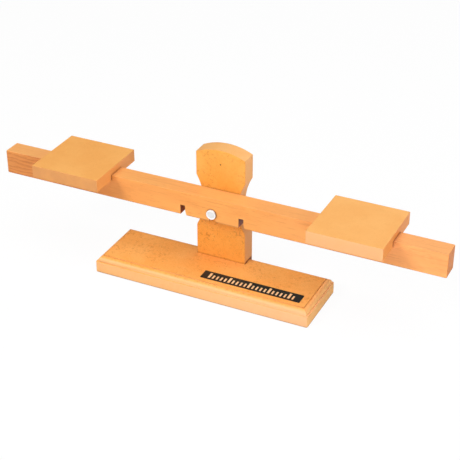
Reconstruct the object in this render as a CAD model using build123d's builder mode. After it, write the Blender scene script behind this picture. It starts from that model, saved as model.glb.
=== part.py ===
from build123d import *
import os

# Tabletop demonstration balance: a beam that rocks on a peg, with two sliding platforms.
# Millimetres. Origin at the centre of the base's underside, +X along the beam,
# +Y towards the back of the stand, +Z up.

# base board
base_length = 295.0
base_width = 88.0
base_thickness = 22.5
base_corner_radius = 2.5
moulding_step = 1.0            # drop from the flat top to the top of the quarter round
moulding_radius = 6.1
moulding_ledge = 2.3           # narrow shelf at the foot of the quarter round
slab_edge_radius = 0.9
arris = 0.5                    # easing on the sharp wooden edges

# post
post_width = 67.4
post_thickness = 22.0
post_front_y = base_width / 2 - post_thickness
post_socket_clearance = 0.3
pivot_height = 101.0
arch_radius = 76.0             # struck from the pivot
waist_radius = 72.0
waist_depth = 9.5
waist_centre_z = 101.5
shoulder_radius = 9.0
mark_hole_diameter = 1.6
mark_hole_depth = 3.0
mark_hole_z = 157.5

# beam
beam_length = 602.0
beam_depth = 25.0              # across the beam, along Y
beam_height = 32.0
beam_gap = 0.8                 # air between the beam and the post
beam_bottom_z = 90.8
beam_edge_radius = 0.6
beam_end_radius = 1.3
notch_width = 6.5
notch_pitch = 40.0
notch_flare_width = 1.6        # the right mouth of each notch is eased to lead the peg in
notch_flare_height = 6.0
middle_flare = 3.6
running_clearance = 0.02

# sliding platforms
platform_length = 95.2
platform_width = 95.0
platform_thickness = 16.4
platform_groove_depth = 7.5
platform_side_clearance = 0.5
left_platform_x = -189.1
right_platform_x = 186.5

# pivot peg and its fasteners
peg_diameter = 6.0
peg_head_diameter = 9.0
peg_head_thickness = 1.0
peg_tail = 10.4                # thread standing out behind the post
cap_diameter = 12.8
cap_thickness = 2.2
cap_gap = 0.4                  # air between the cap and the beam
cap_dish_diameter = 9.2
cap_dish_depth = 0.5
cap_rim_radius = 0.3
spacer_diameter = 13.0
spacer_thickness = 0.7
washer_diameter = 12.5
washer_thickness = 1.2
nut_flats = 10.0
nut_corner_diameter = 11.2     # the points of the hexagon are turned down to this
nut_thickness = 6.0
nut_collar_height = 1.2
fastener_chamfer = 0.5
fit_clearance = 0.05

# wood screws through the post into the base
screw_spacing = 40.0
screw_z = base_thickness / 2
screw_diameter = 4.0
screw_head_diameter = 8.0
screw_length = 40.0
screw_point_length = 5.0
screw_point_diameter = 1.0
countersink_angle = 90.0
drive_width = 1.0
drive_length = 4.0
drive_depth = 1.2

# label strip on the base
label_length = 134.7
label_width = 17.0
label_thickness = 0.3
label_x = 62.7
label_y = -20.5
label_corner = 0.6

# planes and levels that several pieces share
post_back_y = post_front_y + post_thickness
beam_back_y = post_front_y - beam_gap
beam_front_y = beam_back_y - beam_depth
beam_centre_y = (beam_front_y + beam_back_y) / 2
beam_top_z = beam_bottom_z + beam_height
notch_top_z = pivot_height + peg_diameter / 2 + running_clearance
cap_back_y = beam_front_y - cap_gap
cap_front_y = cap_back_y - cap_thickness
nut_front_y = post_back_y + washer_thickness


def plane_at(y, z=pivot_height):
    """A plane facing +Y at the given depth, with its own x along -X."""
    return Plane(origin=(0, y, z), x_dir=(-1, 0, 0), z_dir=(0, 1, 0))


def front_plane_at(y, z=pivot_height):
    """A plane facing -Y at the given depth, with its own x along +X."""
    return Plane(origin=(0, y, z), x_dir=(1, 0, 0), z_dir=(0, -1, 0))


def save(part, node):
    """Label a finished piece and write it as its own STEP file."""
    part.label = node
    export_step(part, f"parts/{node}.step")


os.makedirs("parts", exist_ok=True)

# ---------------------------------------------------------------- base board
slab_height = base_thickness - moulding_step - moulding_radius
quarter_top_z = slab_height + moulding_radius
flat_inset = moulding_ledge + moulding_radius
socket_width = post_width + 2 * post_socket_clearance

# quarter round: a block set in by the ledge, with its top edges rolled over
with BuildPart() as quarter_round:
    with BuildSketch(Plane.XY.offset(arris)):
        Rectangle(base_length - 2 * moulding_ledge, base_width - 2 * moulding_ledge)
    extrude(amount=quarter_top_z - arris)
    top_edges = quarter_round.faces().sort_by(Axis.Z)[-1].edges()
    fillet(top_edges, moulding_radius)

with BuildPart() as base_board:
    with BuildSketch(Plane.XY):
        RectangleRounded(base_length, base_width, base_corner_radius)
    extrude(amount=slab_height)
    bottom_edges = base_board.faces().sort_by(Axis.Z)[0].edges()
    chamfer(bottom_edges, arris)
    slab_edges = base_board.faces().sort_by(Axis.Z)[-1].edges()
    fillet(slab_edges, slab_edge_radius)
    add(quarter_round.part)
    with BuildSketch(Plane.XY.offset(arris)):
        Rectangle(base_length - 2 * flat_inset, base_width - 2 * flat_inset)
    extrude(amount=base_thickness - arris)
    # socket in the back edge that the foot of the post stands in
    with BuildSketch(Plane.XY):
        with Locations((0, (post_front_y + base_width) / 2)):
            Rectangle(socket_width, base_width - post_front_y)
    extrude(amount=base_thickness, mode=Mode.SUBTRACT)
    # pilot holes for the two wood screws
    with BuildSketch(plane_at(post_front_y, screw_z)):
        with GridLocations(screw_spacing, 0, 2, 1):
            Circle(screw_diameter / 2)
    extrude(amount=-(screw_length - post_thickness), mode=Mode.SUBTRACT)
save(base_board.part, "base_board")

# ---------------------------------------------------------------- post
waist_x = post_width / 2 + waist_radius - waist_depth

with BuildPart() as post:
    with BuildSketch(front_plane_at(post_front_y)) as post_outline:
        Circle(arch_radius)
        Rectangle(post_width, 2 * arch_radius, mode=Mode.INTERSECT)
        with Locations((0, -pivot_height / 2)):
            Rectangle(post_width, pivot_height)
        with Locations((-waist_x, waist_centre_z - pivot_height), (waist_x, waist_centre_z - pivot_height)):
            Circle(waist_radius, mode=Mode.SUBTRACT)
        shoulders = post_outline.vertices().group_by(Axis.Y)[1]
        fillet(shoulders, shoulder_radius)
    extrude(amount=-post_thickness)
    rims = post.faces().filter_by(Axis.Y).edges()
    chamfer(rims, arris)
    with BuildSketch(plane_at(post_front_y)):
        Circle(peg_diameter / 2)
    extrude(amount=post_thickness, mode=Mode.SUBTRACT)
    with BuildSketch(plane_at(post_front_y, mark_hole_z)):
        Circle(mark_hole_diameter / 2)
    extrude(amount=mark_hole_depth, mode=Mode.SUBTRACT)
    with Locations(plane_at(post_back_y, screw_z)):
        with GridLocations(screw_spacing, 0, 2, 1):
            CounterSinkHole(
                radius=screw_diameter / 2,
                counter_sink_radius=screw_head_diameter / 2,
                depth=post_thickness,
                counter_sink_angle=countersink_angle,
            )
save(post.part, "post")

# ---------------------------------------------------------------- beam
notch_depth = notch_top_z - beam_bottom_z


def add_notch(x, flare_width, flare_height):
    """Cut one notch outline into the beam's sketch, square on its left and flared on its right."""
    with BuildLine(mode=Mode.PRIVATE) as outline:
        Polyline(
            (x - notch_width / 2, -notch_depth),
            (x - notch_width / 2, notch_depth),
            (x + notch_width / 2, notch_depth),
            (x + notch_width / 2, flare_height),
            (x + notch_width / 2 + flare_width, 0),
            (x + notch_width / 2 + flare_width, -notch_depth),
            close=True,
        )
    make_face(outline.edges(), mode=Mode.SUBTRACT)


with BuildPart() as beam:
    with BuildSketch(front_plane_at(beam_front_y, beam_bottom_z)):
        with Locations((0, beam_height / 2)):
            Rectangle(beam_length, beam_height)
        add_notch(-notch_pitch, notch_flare_width, notch_flare_height)
        add_notch(0, middle_flare, middle_flare)
        add_notch(notch_pitch, notch_flare_width, notch_flare_height)
    extrude(amount=-beam_depth)
    lengthwise_edges = beam.edges().filter_by(Axis.X).filter_by(lambda edge: edge.length > notch_pitch)
    fillet(lengthwise_edges, beam_edge_radius)
    beam_ends = beam.faces().sort_by(Axis.X)
    fillet(beam_ends[0].edges() + beam_ends[-1].edges(), beam_end_radius)
save(beam.part, "beam")

# ---------------------------------------------------------------- sliding platforms
groove_width = beam_depth + 2 * platform_side_clearance
platform_bottom_z = beam_top_z - platform_groove_depth


def make_platform(centre_x):
    """A square tray board with a groove underneath that straddles the beam."""
    left_face = Plane(
        origin=(centre_x - platform_length / 2, beam_centre_y, platform_bottom_z),
        x_dir=(0, 1, 0),
        z_dir=(1, 0, 0),
    )
    with BuildPart() as board:
        with BuildSketch(left_face):
            with Locations((0, platform_thickness / 2)):
                Rectangle(platform_width, platform_thickness)
            Rectangle(groove_width, 2 * platform_groove_depth, mode=Mode.SUBTRACT)
        extrude(amount=platform_length)
        top_edges = board.edges().group_by(Axis.Z)[-1]
        corner_edges = board.edges().filter_by(Axis.Z).group_by(Axis.Y)
        fillet(top_edges + corner_edges[0] + corner_edges[-1], arris)
    return board.part


save(make_platform(left_platform_x), "platform_left")
save(make_platform(right_platform_x), "platform_right")

# ---------------------------------------------------------------- pivot peg
head_pocket_depth = peg_head_thickness + fit_clearance
peg_end_y = post_back_y + peg_tail
peg_head_front_y = cap_back_y - peg_head_thickness

with BuildPart() as pivot_bolt:
    with BuildSketch(plane_at(peg_head_front_y)):
        Circle(peg_head_diameter / 2)
    extrude(amount=peg_head_thickness)
    with BuildSketch(plane_at(cap_back_y)):
        Circle(peg_diameter / 2)
    extrude(amount=peg_end_y - cap_back_y)
    chamfer(pivot_bolt.edges().group_by(Axis.Y)[-1], fastener_chamfer)
save(pivot_bolt.part, "pivot_bolt")

# white cap that snaps over the head and stops the beam walking off the peg
with BuildPart() as pivot_cap:
    with BuildSketch(plane_at(cap_front_y)):
        Circle(cap_diameter / 2)
    extrude(amount=cap_thickness)
    with BuildSketch(plane_at(cap_front_y)):
        Circle(cap_dish_diameter / 2)
    extrude(amount=cap_dish_depth, mode=Mode.SUBTRACT)
    with BuildSketch(plane_at(cap_back_y - head_pocket_depth)):
        Circle(peg_head_diameter / 2 + fit_clearance)
    extrude(amount=head_pocket_depth, mode=Mode.SUBTRACT)
    front_edges = pivot_cap.edges().group_by(Axis.Y)[0]
    fillet(front_edges, cap_rim_radius)
save(pivot_cap.part, "pivot_cap")

# ---------------------------------------------------------------- spacer, washer and nut
with BuildPart() as spacer_washer:
    with BuildSketch(plane_at(post_front_y - spacer_thickness)):
        Circle(spacer_diameter / 2)
        Circle(peg_diameter / 2 + fit_clearance, mode=Mode.SUBTRACT)
    extrude(amount=spacer_thickness)
save(spacer_washer.part, "spacer_washer")

with BuildPart() as back_washer:
    with BuildSketch(plane_at(post_back_y)):
        Circle(washer_diameter / 2)
        Circle(peg_diameter / 2 + fit_clearance, mode=Mode.SUBTRACT)
    extrude(amount=washer_thickness)
save(back_washer.part, "back_washer")

# nut with a plain round locking collar behind its hexagon
with BuildPart() as lock_nut:
    with BuildSketch(plane_at(nut_front_y)):
        RegularPolygon(nut_flats / 2, 6, major_radius=False)
    extrude(amount=nut_thickness)
    with BuildSketch(plane_at(nut_front_y)):
        Circle(nut_corner_diameter / 2)
    extrude(amount=nut_thickness + nut_collar_height, mode=Mode.INTERSECT)
    with BuildSketch(plane_at(nut_front_y + nut_thickness)):
        Circle(nut_flats / 2 - fastener_chamfer)
    extrude(amount=nut_collar_height)
    with BuildSketch(plane_at(nut_front_y)):
        Circle(peg_diameter / 2)
    extrude(amount=nut_thickness + nut_collar_height, mode=Mode.SUBTRACT)
    fillet(lock_nut.edges().group_by(Axis.Y)[-1].sort_by(SortBy.RADIUS)[-1], fastener_chamfer)
save(lock_nut.part, "lock_nut")

# ---------------------------------------------------------------- wood screws
head_height = (screw_head_diameter - screw_diameter) / 2
shank_length = screw_length - head_height - screw_point_length

with BuildPart() as post_screws:
    with BuildSketch(Plane.XY):
        with BuildLine():
            Polyline(
                (0, 0),
                (screw_head_diameter / 2, 0),
                (screw_diameter / 2, -head_height),
                (screw_diameter / 2, -head_height - shank_length),
                (screw_point_diameter / 2, -screw_length),
                (0, -screw_length),
                close=True,
            )
        make_face()
    revolve(axis=Axis.Y)
    with BuildSketch(Plane.XZ):
        Rectangle(drive_length, drive_width)
        Rectangle(drive_width, drive_length)
    extrude(amount=drive_depth, both=True, mode=Mode.SUBTRACT)

screw_places = [
    Location((x, post_back_y, screw_z)) for x in (-screw_spacing / 2, screw_spacing / 2)
]
save(Compound(children=[post_screws.part.moved(place) for place in screw_places]), "post_screws")

# ---------------------------------------------------------------- label strip
with BuildPart() as label_strip:
    with BuildSketch(Plane.XY.offset(base_thickness)):
        with Locations((label_x, label_y)):
            RectangleRounded(label_length, label_width, label_corner)
    extrude(amount=label_thickness)
save(label_strip.part, "label_strip")
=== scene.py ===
import math

import bmesh
import bpy
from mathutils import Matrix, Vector


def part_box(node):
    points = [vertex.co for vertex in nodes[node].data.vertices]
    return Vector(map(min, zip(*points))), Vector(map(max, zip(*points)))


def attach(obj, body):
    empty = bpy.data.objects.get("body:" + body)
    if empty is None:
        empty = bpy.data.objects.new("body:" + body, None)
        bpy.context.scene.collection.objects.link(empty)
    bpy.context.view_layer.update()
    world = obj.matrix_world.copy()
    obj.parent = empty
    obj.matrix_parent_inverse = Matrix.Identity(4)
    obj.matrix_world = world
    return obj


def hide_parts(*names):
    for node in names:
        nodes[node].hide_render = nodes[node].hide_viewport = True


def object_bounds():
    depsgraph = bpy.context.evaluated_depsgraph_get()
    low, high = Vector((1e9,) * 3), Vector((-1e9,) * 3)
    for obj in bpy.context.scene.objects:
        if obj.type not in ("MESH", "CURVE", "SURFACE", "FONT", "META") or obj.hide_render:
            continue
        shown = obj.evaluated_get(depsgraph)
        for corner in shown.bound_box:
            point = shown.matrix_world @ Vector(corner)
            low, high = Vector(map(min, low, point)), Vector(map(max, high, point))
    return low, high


# The looks of a small wooden balance: a material for every CAD node, the print on its label,
# a pivot peg with a cut thread, and a pale studio around it.

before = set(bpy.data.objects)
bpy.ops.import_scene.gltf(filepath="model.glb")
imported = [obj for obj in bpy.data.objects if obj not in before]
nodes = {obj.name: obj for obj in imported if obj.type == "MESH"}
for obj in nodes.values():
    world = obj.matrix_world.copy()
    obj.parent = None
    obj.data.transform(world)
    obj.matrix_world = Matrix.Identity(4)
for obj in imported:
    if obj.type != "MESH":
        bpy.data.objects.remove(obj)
cad_box = [list(corner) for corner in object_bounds()]
MM = 0.001
VARNISH_TINT = (1.0, 0.86, 0.62, 1.0)
SOFT_EDGE = 0.4 * MM  # the radius to which every sharp edge looks rounded off
MARK_HOLE_DROP = 19.5 * MM  # the small mark hole's centre, below the top of the post


# ---------------------------------------------------------------- node graphs

class Graph:
    """A node material under construction: one short call adds one wired node.

    Shares and masks run from 0 to 1, colours are linear, and places are in metres.
    """

    def __init__(self, name):
        self.material = bpy.data.materials.new(name)
        self.material.use_nodes = True
        self.tree = self.material.node_tree
        self.tree.nodes.clear()
        self.shader = self.add("ShaderNodeBsdfPrincipled")
        self.output = self.add("ShaderNodeOutputMaterial")
        self.feed(self.output, "Surface", self.shader.outputs["BSDF"])
        coordinates = self.add("ShaderNodeTexCoord")
        self.place = coordinates.outputs["Object"]
        self.facing = coordinates.outputs["Normal"]
        axes = self.add("ShaderNodeSeparateXYZ")
        self.feed(axes, 0, self.place)
        self.x, self.y, self.z = axes.outputs

    def add(self, kind, **settings):
        """A new node with the given settings."""
        node = self.tree.nodes.new(kind)
        for key, value in settings.items():
            setattr(node, key, value)
        return node

    def feed(self, node, socket, value):
        """Wire a socket to another node's output, or set it to a plain value."""
        if isinstance(value, bpy.types.NodeSocket):
            self.tree.links.new(value, node.inputs[socket])
        else:
            node.inputs[socket].default_value = value

    def set(self, **values):
        """Feed the Principled shader; underscores in a name stand for spaces."""
        for name, value in values.items():
            self.feed(self.shader, name.replace("_", " "), value)

    def math(self, operation, first, second=0.0):
        """One step of arithmetic; some operations take no second number."""
        node = self.add("ShaderNodeMath", operation=operation)
        self.feed(node, 0, first)
        self.feed(node, 1, second)
        return node.outputs[0]

    def vector(self, operation, first, second=(0, 0, 0)):
        """One step of vector arithmetic; DOT_PRODUCT and LENGTH give a number."""
        node = self.add("ShaderNodeVectorMath", operation=operation)
        self.feed(node, 0, first)
        self.feed(node, 1, second)
        return node.outputs["Value" if operation in ("DOT_PRODUCT", "LENGTH") else "Vector"]

    def product(self, first, *factors):
        """All the numbers multiplied together."""
        for factor in factors:
            first = self.math("MULTIPLY", first, factor)
        return first

    def total(self, first, *more):
        """The sum of all the numbers."""
        for value in more:
            first = self.math("ADD", first, value)
        return first

    def rest(self, share):
        """What a share leaves over."""
        return self.math("SUBTRACT", 1.0, share)

    def remap(self, value, low, high, to_low=0.0, to_high=1.0):
        """Ease a value from the range low..high over to another one; low may be above high."""
        node = self.add("ShaderNodeMapRange", interpolation_type="SMOOTHSTEP")
        self.feed(node, "Value", value)
        self.feed(node, "From Min", low)
        self.feed(node, "From Max", high)
        self.feed(node, "To Min", to_low)
        self.feed(node, "To Max", to_high)
        return node.outputs["Result"]

    def noise(self, scale, shift=(0, 0, 0), detail=2.0, roughness=0.5, distortion=0.0):
        """Cloudy noise; scale is in features per metre, as one number or one for each axis."""
        stretch = self.add("ShaderNodeMapping")
        self.feed(stretch, "Vector", self.place)
        self.feed(stretch, "Scale", scale if isinstance(scale, tuple) else (scale, scale, scale))
        self.feed(stretch, "Location", shift)
        node = self.add("ShaderNodeTexNoise")
        self.feed(node, "Vector", stretch.outputs["Vector"])
        self.feed(node, "Scale", 1.0)
        self.feed(node, "Detail", detail)
        self.feed(node, "Roughness", roughness)
        self.feed(node, "Distortion", distortion)
        return node.outputs["Fac"]

    def mix(self, share, first, second):
        """Blend two colours: a share of 0 gives the first and 1 the second."""
        node = self.add("ShaderNodeMix", data_type="RGBA")
        self.feed(node, "Factor", share)
        for socket, value in (("A", first), ("B", second)):
            colour_input = next(i for i in node.inputs if i.name == socket and i.type == "RGBA")
            if isinstance(value, bpy.types.NodeSocket):
                self.tree.links.new(value, colour_input)
            else:
                colour_input.default_value = (*value, 1.0)
        return next(o for o in node.outputs if o.type == "RGBA")

    def lay(self, colour, over, *shares):
        """Lay a second colour over the first, by the product of the shares."""
        return self.mix(self.product(*shares), colour, over)

    def mix_shaders(self, share, first, second):
        """Blend two shaders: a share of 0 gives the first and 1 the second."""
        node = self.add("ShaderNodeMixShader")
        self.feed(node, 0, share)
        self.feed(node, 1, first)
        self.feed(node, 2, second)
        return node.outputs[0]

    def bump(self, height, distance, strength):
        """Surface relief on a normal that is rounded off along sharp edges."""
        rounded = self.add("ShaderNodeBevel", samples=4)
        self.feed(rounded, "Radius", SOFT_EDGE)
        node = self.add("ShaderNodeBump")
        self.feed(node, "Normal", rounded.outputs["Normal"])
        self.feed(node, "Height", height)
        self.feed(node, "Distance", distance)
        self.feed(node, "Strength", strength)
        return node.outputs["Normal"]

    def turned_to(self, axis):
        """1 on surfaces that face along an axis (0, 1 or 2), either way, and 0 on the rest."""
        direction = tuple(1.0 if k == axis else 0.0 for k in range(3))
        across = self.math("ABSOLUTE", self.vector("DOT_PRODUCT", self.facing, direction))
        return self.remap(across, 0.55, 0.92)

    def on_right(self):
        """1 right of the pivot and 0 left of it."""
        return self.remap(self.x, -1 * MM, 1 * MM)

    def edge_mask(self, radius):
        """1 along sharp outer edges, 0 on open faces."""
        bevel = self.add("ShaderNodeBevel", samples=4)
        self.feed(bevel, "Radius", radius)
        geometry = self.add("ShaderNodeNewGeometry")
        alike = self.vector("DOT_PRODUCT", bevel.outputs["Normal"], geometry.outputs["Normal"])
        return self.remap(alike, 0.995, 0.80)

    def crevice(self, distance, shallow=0.95, deep=0.30):
        """1 deep in corners and gaps, 0 in the open."""
        node = self.add("ShaderNodeAmbientOcclusion", samples=6)
        self.feed(node, "Distance", distance)
        return self.remap(node.outputs["AO"], shallow, deep)


# ---------------------------------------------------------------- colours

def srgb(red, green, blue):
    """Linear colour from screen values of 0 to 255."""
    def linear(value):
        value = value / 255
        return value / 12.92 if value <= 0.04045 else ((value + 0.055) / 1.055) ** 2.4
    return (linear(red), linear(green), linear(blue))


def darker(colour, share):
    """A colour at a share of its brightness."""
    return tuple(share * channel for channel in colour)


def shadow_of(dark):
    """The deep brown that a wood's dark tone turns to in corners."""
    return (0.46 * dark[0], 0.27 * dark[1], 0.22 * dark[2])


# ---------------------------------------------------------------- wood materials

def varnish(g, colour, rough, normal):
    """Wood under a thin worn coat with warm highlights."""
    g.set(Base_Color=colour, Roughness=rough, Normal=normal)
    g.set(Coat_Weight=0.08, Coat_Roughness=0.25)
    g.set(Specular_IOR_Level=0.38, Specular_Tint=VARNISH_TINT)
    return g.material


def mottled_board(name, tones, axis, shift, mottle, marks_and_painted_light, corner_shade=0.45):
    """Varnished fibreboard: mottled on the two faces across axis, paler and finer on cut edges.

    tones holds the colours face, dark, light and cut. shift moves the noise, so that no two
    boards are alike. mottle is the strength of the figure. marks_and_painted_light(g, colour, dark)
    adds marks of use and painted shade. corner_shade is how much painted shade darkens the corners.
    """
    calm_from, calm_to = 100 * MM, 140 * MM
    g = Graph(name)
    face, dark, light, cut = (srgb(*tones[key]) for key in ("face", "dark", "light", "cut"))
    clouds = g.noise(22, shift, detail=3.0, roughness=0.6)
    swirls = g.noise(300, shift, roughness=0.55, distortion=2.6)
    fibres = g.noise(1500, shift, roughness=0.7)
    cut_clouds = g.noise(60, shift, detail=4.0, roughness=0.6)

    # the upper part of the stand is calmer than the foot
    depth = g.remap(g.z, calm_from, calm_to, mottle, 0.60 * mottle)
    face_colour = g.lay(face, light, g.remap(clouds, 0.35, 0.68), 0.7)
    face_colour = g.lay(face_colour, dark, g.remap(swirls, 0.52, 0.68), depth, 0.26)
    face_colour = g.lay(face_colour, light, g.remap(swirls, 0.47, 0.33), depth, 0.45)
    face_colour = flecked(g, face_colour, dark, light, shift, depth)
    face_colour = g.lay(face_colour, dark, g.remap(fibres, 0.55, 0.75), 0.12)

    cut_colour = g.lay(cut, face, g.remap(cut_clouds, 0.40, 0.75), 0.30)
    cut_colour = g.lay(cut_colour, dark, g.remap(fibres, 0.50, 0.72), 0.14)
    is_face = g.turned_to(axis)
    colour = g.mix(is_face, cut_colour, face_colour)

    # varnish gathers and darkens along the edges
    colour = g.lay(colour, dark, g.edge_mask(1.1 * MM), g.remap(clouds, 0.35, 0.65, 0.25, 0.75))
    colour = marks_and_painted_light(g, colour, dark)
    # painted shade in the corners
    colour = g.lay(colour, shadow_of(dark), g.crevice(1.2 * MM, 0.7, 0.3), corner_shade)

    rough = g.total(g.remap(swirls, 0.3, 0.7, 0.36, 0.50), g.product(g.rest(is_face), 0.12))
    height = g.total(g.product(fibres, 0.3), swirls)
    return varnish(g, colour, rough, g.bump(height, 0.08 * MM, 0.5 * mottle))


def flecked(g, colour, dark, light, shift, depth):
    """Short curled flecks of coarse fibre, dark with a painted highlight on one side, lying in loose
    herds.
    """
    curls = g.noise(170, shift, detail=1.0, distortion=2.0)
    breaks = g.noise(210, shift, detail=0.0)
    herds = g.noise(34, shift, roughness=0.6)
    away = g.math("SUBTRACT", curls, 0.5)
    fleck = g.remap(g.math("ABSOLUTE", away), 0.080, 0.025)
    painted_lit_side = g.product(g.remap(away, 0.055, 0.090), g.remap(away, 0.170, 0.110))
    where = g.product(g.remap(breaks, 0.48, 0.56), g.remap(herds, 0.44, 0.56, 0.15, 1.0), depth)
    fleck_tone = (0.95 * dark[0], 0.80 * dark[1], 0.5 * dark[2])
    colour = g.lay(colour, fleck_tone, fleck, where, 0.42)
    # a painted highlight on one side of each fleck, as if it stood raised
    return g.lay(colour, light, painted_lit_side, where, 0.60)


def stain_and_painted_light_base(g, colour, dark):
    """Stain, painted shade and painted light in the moulding's steps, painted shade beside the post,
    painted light on the right, and a darker bottom edge.
    """
    low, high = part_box("base_board")
    post_low, post_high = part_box("post")
    in_corner = g.crevice(1.8 * MM, 0.97, 0.55)

    # the moulding's upper step gets painted shade with some stain, mostly near the two ends
    along = g.math("ABSOLUTE", g.x)
    step_shade_and_stain = g.total(g.remap(along, high.x - 12 * MM, high.x - 8 * MM, 0.0, 0.70),
                      g.remap(along, 0.3 * high.x, high.x - 15 * MM, 0.08, 0.30))
    upper_step = g.product(in_corner, g.remap(g.z, high.z - 3 * MM, high.z - 2 * MM))
    colour = g.lay(colour, srgb(206, 108, 8), upper_step, step_shade_and_stain)

    # its lower step gets painted light that hides its shade, and painted shade only towards the left
    # end
    lower_step = g.product(in_corner, g.remap(g.z, high.z - 4 * MM, high.z - 5 * MM))
    colour = g.lay(colour, srgb(255, 214, 160), lower_step, 0.55)
    colour = g.lay(colour, dark, lower_step, g.remap(g.x, -0.45 * high.x, low.x, 0.0, 0.60))

    # left of the post the back of the top lies in soft shade, most of all close to the post
    beside = g.product(g.remap(g.x, post_low.x - 20 * MM, post_low.x - 2 * MM, 0.20, 0.65),
                       g.remap(g.x, post_high.x, post_low.x), g.turned_to(2))
    near_back = g.remap(g.y, high.y - 13 * MM, high.y - 7 * MM)
    colour = g.lay(colour, srgb(140, 98, 70), beside, near_back)

    # painted light makes the right end yellower and paler, and the long sides a little rosier and
    # paler towards it
    is_end = g.turned_to(0)
    colour = g.lay(colour, srgb(244, 194, 112), is_end, g.on_right(), 0.5)
    rosy = g.product(g.remap(g.x, -0.5 * high.x, high.x, 0.0, 0.5),
                     g.remap(g.z, high.z, high.z - 6 * MM), g.rest(is_end))
    colour = g.lay(colour, srgb(250, 190, 144), rosy)

    # darker along the bottom edge
    darkened_bottom = g.remap(g.z, low.z + 2.0 * MM, low.z + 0.8 * MM, 0.0, 0.42)
    return g.lay(colour, shadow_of(dark), darkened_bottom)


def painted_shade_post(g, colour, dark):
    """Painted shade where the post meets the base, low down on the narrow sides, and in the mark
    hole.
    """
    shade_from, shade_to = 105 * MM, 75 * MM
    low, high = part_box("post")
    base_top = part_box("base_board")[1].z
    sides = g.turned_to(0)
    # painted shade low down on the narrow sides
    colour = g.lay(colour, dark, sides, g.remap(g.z, shade_from, shade_to), 0.26)

    # the painted shade at the foot stops short of the back face, which is flush with the base
    at_foot = g.product(g.remap(g.z, base_top + 3.2 * MM, base_top + 0.6 * MM),
                        g.remap(g.y, high.y - 1 * MM, high.y - 3 * MM))
    colour = g.lay(colour, shadow_of(dark), at_foot, g.total(g.product(sides, 0.60), 0.30))

    # painted shade inside the small mark hole
    hole = (0.0, low.y, high.z - MARK_HOLE_DROP)
    across = g.vector("MULTIPLY", g.vector("SUBTRACT", g.place, hole), (1.0, 0.0, 1.0))
    in_hole = g.product(g.remap(g.vector("LENGTH", across), 1.1 * MM, 0.7 * MM),
                        g.remap(g.y, low.y + 4 * MM, low.y + 3 * MM))
    return g.lay(colour, shadow_of(dark), in_hole, 0.9)


def tone_and_painted_shade_platform(g, colour, dark):
    """Deeper colour on the two ends the groove opens through, and painted shade in the corners along
    the beam.
    """
    end_tone = g.mix(g.on_right(), srgb(242, 164, 88), srgb(242, 153, 72))
    colour = g.lay(colour, end_tone, g.turned_to(0), 0.8)
    # painted shade in the corners along the beam
    return g.lay(colour, shadow_of(dark), g.crevice(5 * MM), 0.5)


def growth_rings(g, pith, half_length, shift):
    """1 in the dark late wood of the rings round a pith line that runs behind the beam.

    pith holds the line's y and z. It drifts down towards the left end, so that the rings cross
    the face more steeply there.
    """
    ring_width = 3.1 * MM
    wander = g.noise((3.2, 12, 12), shift)
    ripple = g.noise((30, 90, 90), shift, detail=4.0, roughness=0.65)
    drift = g.remap(g.x, -0.48 * half_length, -0.78 * half_length, 0.0, 90 * MM)
    off_y = g.math("SUBTRACT", g.y, pith[0])
    off_z = g.total(g.math("SUBTRACT", g.z, pith[1]), drift)
    radius = g.math("SQRT", g.total(g.product(off_y, off_y), g.product(off_z, off_z)))
    radius = g.total(radius, g.product(wander, 22 * MM), g.product(ripple, 5.5 * MM))
    ring = g.math("FRACT", g.math("DIVIDE", radius, ring_width))
    return g.product(g.remap(ring, 0.35, 0.86), g.remap(ring, 1.0, 0.88))


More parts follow.
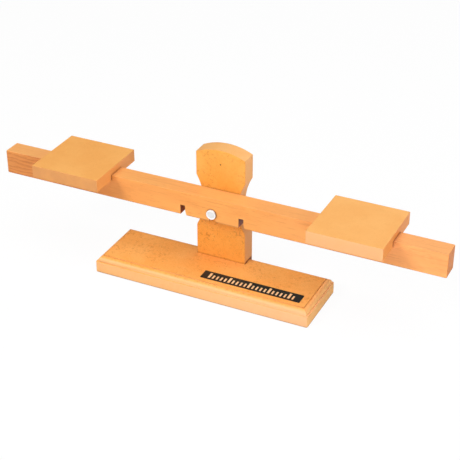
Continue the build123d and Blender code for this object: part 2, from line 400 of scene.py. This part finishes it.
def pine(name, tones, pith, half_length, shift):
    """Varnished softwood sawn along X, darker with clear rings to the left, rosier to the right.

    tones holds the colours pale, mid, dark, rosy, paler_top (laid over the top) and end (the sawn
    ends). half_length is where the beam ends in x. pith and shift are as in the other functions.
    """
    g = Graph(name)
    pale, mid, dark = (srgb(*tones[key]) for key in ("pale", "mid", "dark"))
    rosy, paler_top, end = (srgb(*tones[key]) for key in ("rosy", "paler_top", "end"))
    shadow = shadow_of(dark)
    late = growth_rings(g, pith, half_length, shift)
    streaks = g.noise((20, 380, 380), shift, detail=4.0, roughness=0.65)
    dashes = g.noise((110, 800, 800), shift, roughness=0.6)
    clouds = g.noise((5, 30, 30), shift)
    pores = g.noise(2600, shift, detail=1.0, roughness=0.6)

    left_half = g.remap(g.x, 0.0, -0.45 * half_length)
    left_end = g.remap(g.x, -0.45 * half_length, -0.85 * half_length)
    right_end = g.remap(g.x, 0.02 * half_length, 0.75 * half_length)
    on_top = g.turned_to(2)
    on_side = g.rest(on_top)
    is_end = g.turned_to(0)

    patchy = g.remap(clouds, 0.40, 0.65)
    figure = g.total(g.product(patchy, 0.08), g.product(left_end, on_side, 0.52), 0.06)
    grain = g.total(g.product(figure, 0.8), 0.24)
    colour = g.mix(g.remap(clouds, 0.3, 0.7), pale, mid)
    colour = g.lay(colour, rosy, right_end, 0.75)
    colour = g.lay(colour, dark, left_end, on_side, 0.38)
    colour = g.lay(colour, dark, left_half, on_side, 0.16)
    colour = g.lay(colour, dark, late, figure)
    colour = g.lay(colour, dark, g.remap(streaks, 0.52, 0.72), grain)
    colour = g.lay(colour, pale, g.remap(streaks, 0.46, 0.30), 0.35)
    colour = g.lay(colour, dark, g.remap(dashes, 0.58, 0.72), 0.26)
    # a paler tone over the top face, more towards the left end
    colour = g.lay(colour, paler_top, on_top, g.total(g.product(left_end, 0.20), 0.28))

    end_colour = g.lay(end, dark, late, 0.55)
    end_colour = g.lay(end_colour, dark, g.remap(pores, 0.5, 0.75), 0.30)
    colour = g.mix(is_end, colour, end_colour)
    # painted shade on the sawn walls of the notches, darker than the outer ends
    shaded_notch_walls = g.remap(g.math("ABSOLUTE", g.x), 0.95 * half_length, 0.90 * half_length)
    colour = g.lay(colour, shadow, is_end, shaded_notch_walls, 0.85)

    # dark edges, a darker bottom edge, and painted shade in the corners and beside the platforms
    rim = g.total(g.product(is_end, 0.70), 0.12)
    colour = g.lay(colour, shadow, g.edge_mask(1.2 * MM), rim)
    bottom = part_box("beam")[0].z
    darkened_bottom = g.remap(g.z, bottom + 1.6 * MM, bottom + 0.5 * MM)
    colour = g.lay(colour, shadow, on_side, darkened_bottom, 0.35)
    colour = g.lay(colour, shadow, g.crevice(2.5 * MM, 0.92, 0.45), 0.75)
    colour = g.lay(colour, shadow, g.crevice(11 * MM, 0.62, 0.34), 0.92)

    rough = g.remap(streaks, 0.3, 0.7, 0.36, 0.50)
    height = g.total(g.product(late, 0.5), streaks)
    return varnish(g, colour, rough, g.bump(height, 0.06 * MM, 0.5))


# ---------------------------------------------------------------- metal and plastic materials

def zinc_steel():
    """Bright zinc-plated steel with faint clouding and turning marks."""
    g = Graph("zinc_steel")
    clouds = g.noise(260, detail=3.0, roughness=0.6)
    lines = g.noise((300, 4200, 300), roughness=0.6)
    colour = g.mix(g.remap(clouds, 0.35, 0.7), (0.60, 0.61, 0.62), (0.74, 0.74, 0.72))
    colour = g.lay(colour, (0.90, 0.90, 0.88), g.edge_mask(0.3 * MM), 0.5)
    # painted shade in the crevices
    colour = g.lay(colour, (0.10, 0.09, 0.08), g.crevice(1.2 * MM), 0.6)
    g.set(Base_Color=colour, Metallic=1.0, Roughness=g.remap(clouds, 0.3, 0.7, 0.24, 0.42))
    g.set(Normal=g.bump(lines, 0.03 * MM, 0.4))
    return g.material


def moulded_plastic(name, colour, shade, roughness, glow, front=None):
    """Moulded plastic with a faint orange-peel surface.

    shade is a second tone that it clouds over to. glow is how much light soaks in. front is
    the y of a dished front face, for a piece that has one.
    """
    g = Graph(name)
    clouds = g.noise(180, detail=3.0, roughness=0.55)
    peel = g.noise(1500)
    tint = g.mix(g.remap(clouds, 0.35, 0.7), colour, shade)
    # painted shade in the crevices
    tint = g.lay(tint, darker(shade, 0.35), g.crevice(0.8 * MM), 0.25)
    if front is not None:
        tint = shaded_dish(g, tint, shade, front)
    g.set(Base_Color=tint, Roughness=g.remap(clouds, 0.3, 0.7, roughness, roughness + 0.10))
    g.set(Subsurface_Weight=glow, Subsurface_Radius=(1.0, 1.0, 0.9), Subsurface_Scale=0.6 * MM)
    g.set(Normal=g.bump(peel, 0.02 * MM, 0.4), Coat_Weight=0.3, Coat_Roughness=0.10)
    return g.material


def shaded_dish(g, tint, shade, front):
    """Painted shade: a darker floor behind the front rim, and darker walls that don't face up."""
    behind_rim = g.remap(g.y, front + 0.2 * MM, front + 0.4 * MM)
    is_front = g.turned_to(1)
    tint = g.lay(tint, darker(shade, 0.80), behind_rim, is_front, 0.8)
    # the walls get painted shade, less where they face up
    upward = g.vector("DOT_PRODUCT", g.facing, (0, 0, 1))
    wall_shade = g.remap(upward, 0.95, 0.25, 0.15, 1.0)
    return g.lay(tint, darker(shade, 0.16), behind_rim, g.rest(is_front), wall_shade, 0.8)


def label_film():
    """Black film with a semi-matt face and a little dust."""
    g = Graph("label_film")
    dust = g.noise(700, detail=3.0, roughness=0.7)
    clouds = g.noise(90)
    colour = g.mix(g.remap(clouds, 0.3, 0.7), (0.010, 0.011, 0.009), (0.020, 0.020, 0.016))
    colour = g.lay(colour, (0.30, 0.26, 0.20), g.remap(dust, 0.60, 0.80), 0.10)
    g.set(Base_Color=colour, Roughness=g.remap(clouds, 0.3, 0.7, 0.38, 0.52))
    g.set(Specular_IOR_Level=0.22, Normal=g.bump(dust, 0.02 * MM, 0.3))
    return g.material


def label_ink():
    """Cream ink, a little uneven where it was screened on."""
    g = Graph("label_ink")
    body = g.noise(600, detail=3.0, roughness=0.6)
    colour = g.mix(g.remap(body, 0.35, 0.75), srgb(255, 214, 160), srgb(236, 176, 110))
    g.set(Base_Color=colour, Roughness=0.45, Normal=g.bump(body, 0.01 * MM, 0.3))
    return g.material


base_tones = {"face": (247, 168, 82), "dark": (188, 108, 42),
              "light": (252, 184, 102), "cut": (244, 182, 118)}
post_tones = {"face": (246, 162, 65), "dark": (176, 100, 36),
              "light": (252, 178, 84), "cut": (244, 182, 112)}
left_tones = {"face": (244, 172, 92), "dark": (206, 134, 66),
              "light": (250, 184, 104), "cut": (218, 149, 86)}
right_tones = {"face": (246, 177, 100), "dark": (208, 138, 72),
               "light": (250, 186, 110), "cut": (240, 178, 120)}
beam_tones = {"pale": (248, 170, 88), "mid": (244, 160, 80), "dark": (190, 100, 46),
              "rosy": (250, 170, 102), "paler_top": (250, 188, 124), "end": (224, 128, 26)}

materials = {
    "base_board": mottled_board("base_mdf", base_tones, axis=2, shift=(3.1, 1.7, 0.4),
                                mottle=0.9, marks_and_painted_light=stain_and_painted_light_base, corner_shade=0.15),
    "post": mottled_board("post_mdf", post_tones, axis=1, shift=(9.2, 4.4, 6.1),
                          mottle=1.1, marks_and_painted_light=painted_shade_post),
    "platform_left": mottled_board("platform_mdf_left", left_tones, axis=2,
                                   shift=(1.2, 7.7, 3.5), mottle=0.35, marks_and_painted_light=tone_and_painted_shade_platform),
    "platform_right": mottled_board("platform_mdf_right", right_tones, axis=2,
                                    shift=(5.8, 2.3, 8.9), mottle=0.25, marks_and_painted_light=tone_and_painted_shade_platform),
    "beam": pine("beam_pine", beam_tones, pith=(110 * MM, 100 * MM),
                 half_length=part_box("beam")[1].x, shift=(2.0, 0.5, 1.5)),
    "pivot_bolt": zinc_steel(),
    "pivot_cap": moulded_plastic("white_plastic", (0.90, 0.89, 0.85), (0.84, 0.84, 0.81),
                                 roughness=0.22, glow=0.1, front=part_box("pivot_cap")[0].y),
    "spacer_washer": moulded_plastic("nylon", (0.74, 0.72, 0.64), (0.66, 0.63, 0.54),
                                     roughness=0.40, glow=0.25),
    "label_strip": label_film(),
}
for fastener in ("back_washer", "lock_nut", "post_screws"):
    materials[fastener] = materials["pivot_bolt"]
for node_name, material in materials.items():
    mesh = nodes[node_name].data
    mesh.materials.clear()
    mesh.materials.append(material)


# ---------------------------------------------------------------- added pieces

def put_in_scene(name, data):
    """A new object in the scene for a mesh, a light or a camera."""
    thing = bpy.data.objects.new(name, data)
    bpy.context.scene.collection.objects.link(thing)
    return thing


def add_piece(name, data, material):
    """Put a mesh in the scene as a piece that belongs to the stand."""
    piece = put_in_scene(name, data)
    data.materials.append(material)
    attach(piece, "stand")
    return piece


def add_label_print():
    """Plain graduation marks in cream ink along the label strip, every fifth one longer."""
    margin = 9.0 * MM
    pitch = 5.4 * MM
    marks_per_group = 5
    long_width, long_length = 3.0 * MM, 11.0 * MM
    short_width, short_length = 2.3 * MM, 7.5 * MM
    ink_thickness = 0.06 * MM

    low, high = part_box("label_strip")
    marks_foot = (low.y + high.y) / 2 - long_length / 2
    count = int((high.x - low.x - 2 * margin) / pitch) + 1
    first_x = (low.x + high.x) / 2 - (count - 1) * pitch / 2
    mesh = bmesh.new()
    for index in range(count):
        is_long = index % marks_per_group == 0
        width = long_width if is_long else short_width
        length = long_length if is_long else short_length
        made = bmesh.ops.create_cube(mesh, size=1.0)["verts"]
        bmesh.ops.scale(mesh, vec=(width, length, ink_thickness), verts=made)
        place = (first_x + index * pitch, marks_foot + length / 2, high.z + ink_thickness / 2)
        bmesh.ops.translate(mesh, vec=place, verts=made)
    data = bpy.data.meshes.new("label_print")
    mesh.to_mesh(data)
    mesh.free()
    add_piece("label_print", data, label_ink())


def add_threaded_peg():
    """The pivot peg: a head with an eased rim, a smooth shank and a real thread on its tail."""
    head_thickness = 1.0 * MM
    head_easing = 0.2 * MM
    shank_radius = 3.0 * MM
    thread_in_post = 6 * MM
    thread_pitch = 1.0 * MM
    thread_depth = 0.55 * MM
    chamfer = 0.5 * MM
    sides = 32
    rows_per_pitch = 8

    low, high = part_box("pivot_bolt")
    centre_z = (low.z + high.z) / 2
    head_radius = (high.z - low.z) / 2
    head_back = low.y + head_thickness
    thread_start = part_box("post")[1].y - thread_in_post
    thread_length = high.y - thread_start

    # rings along Y: (y, radius, threaded)
    rings = [(low.y, head_radius - head_easing, False),
             (low.y + head_easing, head_radius, False),
             (head_back, head_radius, False),
             (head_back, shank_radius, False)]
    count = int(thread_length / thread_pitch * rows_per_pitch)
    for index in range(count + 1):
        y = thread_start + thread_length * index / count
        rings.append((y, shank_radius - max(0.0, y - (high.y - chamfer)), True))

    def thread_cut(y, turn):
        """The depth of the V groove, which runs in over the first pitch."""
        phase = (y / thread_pitch - turn) % 1.0
        run_in = min(1.0, (y - thread_start) / thread_pitch)
        return thread_depth * run_in * (1 - abs(2 * phase - 1))

    verts = []
    for y, radius, threaded in rings:
        for side in range(sides):
            turn = side / sides
            angle = 2 * math.pi * turn
            reach = radius - (thread_cut(y, turn) if threaded else 0.0)
            verts.append((reach * math.cos(angle), y, centre_z + reach * math.sin(angle)))
    faces = [tuple(range(sides)), tuple(reversed(range(len(verts) - sides, len(verts))))]
    for row in range(len(rings) - 1):
        for side in range(sides):
            here = row * sides + side
            beside = row * sides + (side + 1) % sides
            faces.append((here, here + sides, beside + sides, beside))
    data = bpy.data.meshes.new("threaded_peg")
    data.from_pydata(verts, [], faces)
    piece = add_piece("threaded_peg", data, materials["pivot_bolt"])
    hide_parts("pivot_bolt")


add_label_print()
add_threaded_peg()


# ---------------------------------------------------------------- floor, light and camera

def floor_paper():
    """Pale paper that the camera sees almost evenly lit, with only a trace of shadow.

    Seen from below it is clear, and it doesn't block the light close to the underside.
    """
    glow_strength = 1.01
    glow_share = 0.93
    close_range = 5 * MM
    g = Graph("floor_paper")
    g.set(Base_Color=g.mix(g.noise(40), (0.86, 0.86, 0.86), (0.89, 0.89, 0.89)))
    g.set(Roughness=0.9, Specular_IOR_Level=0.1)
    glow = g.add("ShaderNodeEmission")
    g.feed(glow, "Strength", glow_strength)
    clear = g.add("ShaderNodeBsdfTransparent")
    ray = g.add("ShaderNodeLightPath").outputs
    from_below = g.add("ShaderNodeNewGeometry").outputs["Backfacing"]
    close = g.math("LESS_THAN", ray["Ray Length"], close_range)
    lit = g.mix_shaders(g.product(ray["Is Camera Ray"], glow_share),
                        g.shader.outputs["BSDF"], glow.outputs["Emission"])
    sheet = g.mix_shaders(g.math("MAXIMUM", from_below, close), lit, clear.outputs["BSDF"])
    g.feed(g.output, "Surface", sheet)
    return g.material


def add_floor():
    """A wide pale floor just under the object."""
    half = 6.0
    gap = 0.2 * MM
    level = cad_box[0][2] - gap
    corners = [(-half, -half, level), (half, -half, level), (half, half, level), (-half, half, level)]
    data = bpy.data.meshes.new("floor")
    data.from_pydata(corners, [], [(0, 1, 2, 3)])
    data.materials.append(floor_paper())
    put_in_scene("floor", data)


def aim(thing, place, target):
    """Move a light or camera to a place and turn it towards a target."""
    thing.location = place
    thing.rotation_euler = (Vector(target) - Vector(place)).to_track_quat("-Z", "Y").to_euler()


def add_area_light(name, place, target, size, power, colour=(1, 1, 1), mirrored=True):
    """A round soft light; mirrored says whether shiny surfaces show its reflection."""
    light = bpy.data.lights.new(name, "AREA")
    light.shape = "DISK"
    light.size = size
    light.energy = power
    light.color = colour
    thing = put_in_scene(name, light)
    thing.visible_glossy = mirrored
    aim(thing, place, target)


def add_world(above, below):
    """Even light of one strength above the horizon and another below, but white to the camera."""
    horizon_blur = 0.02
    seen_strength = 1.0
    world = bpy.data.worlds.new("studio")
    world.use_nodes = True
    tree = world.node_tree
    background = tree.nodes["Background"]
    background.inputs["Color"].default_value = (1.0, 1.0, 1.0, 1.0)
    direction = tree.nodes.new("ShaderNodeTexCoord")
    parts = tree.nodes.new("ShaderNodeSeparateXYZ")
    tree.links.new(direction.outputs["Generated"], parts.inputs[0])
    level = tree.nodes.new("ShaderNodeMapRange")
    level.inputs["From Min"].default_value = -horizon_blur
    level.inputs["From Max"].default_value = 0.0
    level.inputs["To Min"].default_value = below
    level.inputs["To Max"].default_value = above
    tree.links.new(parts.outputs["Z"], level.inputs["Value"])
    chosen = tree.nodes.new("ShaderNodeMapRange")
    chosen.inputs["To Max"].default_value = seen_strength
    seen = tree.nodes.new("ShaderNodeLightPath").outputs["Is Camera Ray"]
    tree.links.new(seen, chosen.inputs["Value"])
    tree.links.new(level.outputs["Result"], chosen.inputs["To Min"])
    tree.links.new(chosen.outputs["Result"], background.inputs["Strength"])
    bpy.context.scene.world = world


def add_camera(azimuth, elevation, distance, lens, target):
    """Look at a target from the front, turned to the right and raised by angles in degrees."""
    camera = bpy.data.cameras.new("camera")
    camera.lens = lens
    camera.sensor_width = 36.0
    thing = put_in_scene("camera", camera)
    a = math.radians(azimuth)
    e = math.radians(elevation)
    back = Vector((math.sin(a) * math.cos(e), -math.cos(a) * math.cos(e), math.sin(e)))
    aim(thing, Vector(target) + distance * back, target)
    bpy.context.scene.camera = thing


add_floor()
add_world(above=0.09, below=0.60)
add_area_light("key", (-2.00, -3.20, 2.80), (0.05, 0, 0.07), size=1.6, power=117)
add_area_light("overhead", (0.25, -0.25, 1.60), (0.05, 0, 0.05), size=1.6, power=15.5)
add_area_light("fill", (3.20, -1.10, 1.10), (0.05, 0, 0.07), size=1.6, power=40)
add_area_light("front_right", (0.75, -0.95, 0.45), (0.15, 0, 0.08), size=0.5, power=1.8,
               colour=(0.86, 0.96, 1.40), mirrored=False)
add_area_light("back", (0.60, 3.20, 1.70), (0.05, 0, 0.07), size=1.6, power=20)
# the photo's own viewpoint, solved from the straight edges of the beam and the base
add_camera(azimuth=25.61, elevation=30.69, distance=1.6133, lens=98.19, target=(0, 0.0488, 0.0503))
bpy.context.scene.view_settings.view_transform = "Standard"
